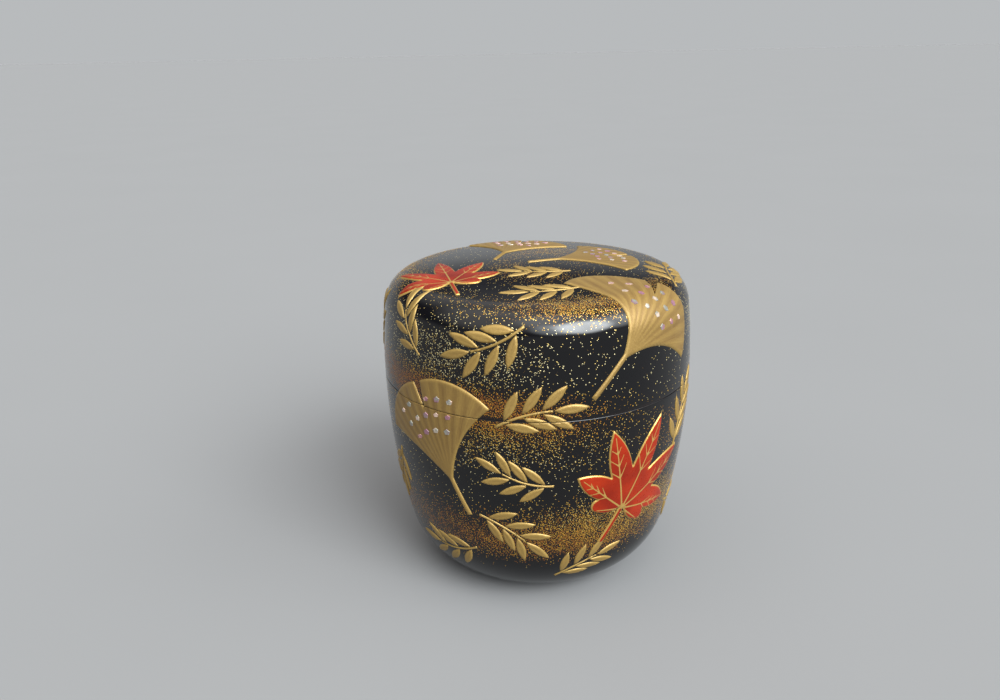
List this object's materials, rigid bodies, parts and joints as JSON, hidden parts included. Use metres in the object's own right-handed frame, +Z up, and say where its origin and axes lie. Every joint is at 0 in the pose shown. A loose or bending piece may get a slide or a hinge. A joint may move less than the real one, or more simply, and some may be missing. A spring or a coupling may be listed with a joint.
{
  "type": "tea caddy",
  "caption": "Round lacquered tea caddy with a lift-off domed cover over an inner lip, raised gold and red leaves, gold sprays, shell flecks and a low foot ring.",
  "frame": {"origin": "centre of the foot, on the plane that the caddy stands on", "axes": "+Z up along the axis that the caddy is turned about, -Y towards the front"},
  "size_m": [0.0741, 0.0742, 0.0764],
  "materials": {
    "black_lacquer": "polished black lacquer with sprinkled gold dust over turned wood",
    "gold_relief": "gold powder polished on raised lacquer",
    "red_relief": "vermilion raised lacquer with fine gold lines",
    "shell": "iridescent shell"
  },
  "bodies": {
    "vessel": {"body_vessel": "black_lacquer", "body_gold_leaves": "gold_relief", "body_red_leaves": "red_relief", "body_gold_sprays": "gold_relief", "body_shell_flecks": "shell"},
    "cover": {"lid_cover": "black_lacquer", "lid_gold_leaves": "gold_relief", "lid_red_leaves": "red_relief", "lid_gold_sprays": "gold_relief", "lid_shell_flecks": "shell"}
  },
  "joints": [
    {"name": "lid_lift", "type": "slide", "parent": "vessel", "child": "cover", "axis": [0, 0, 1], "range_m": [0, 0.06]}
  ]
}
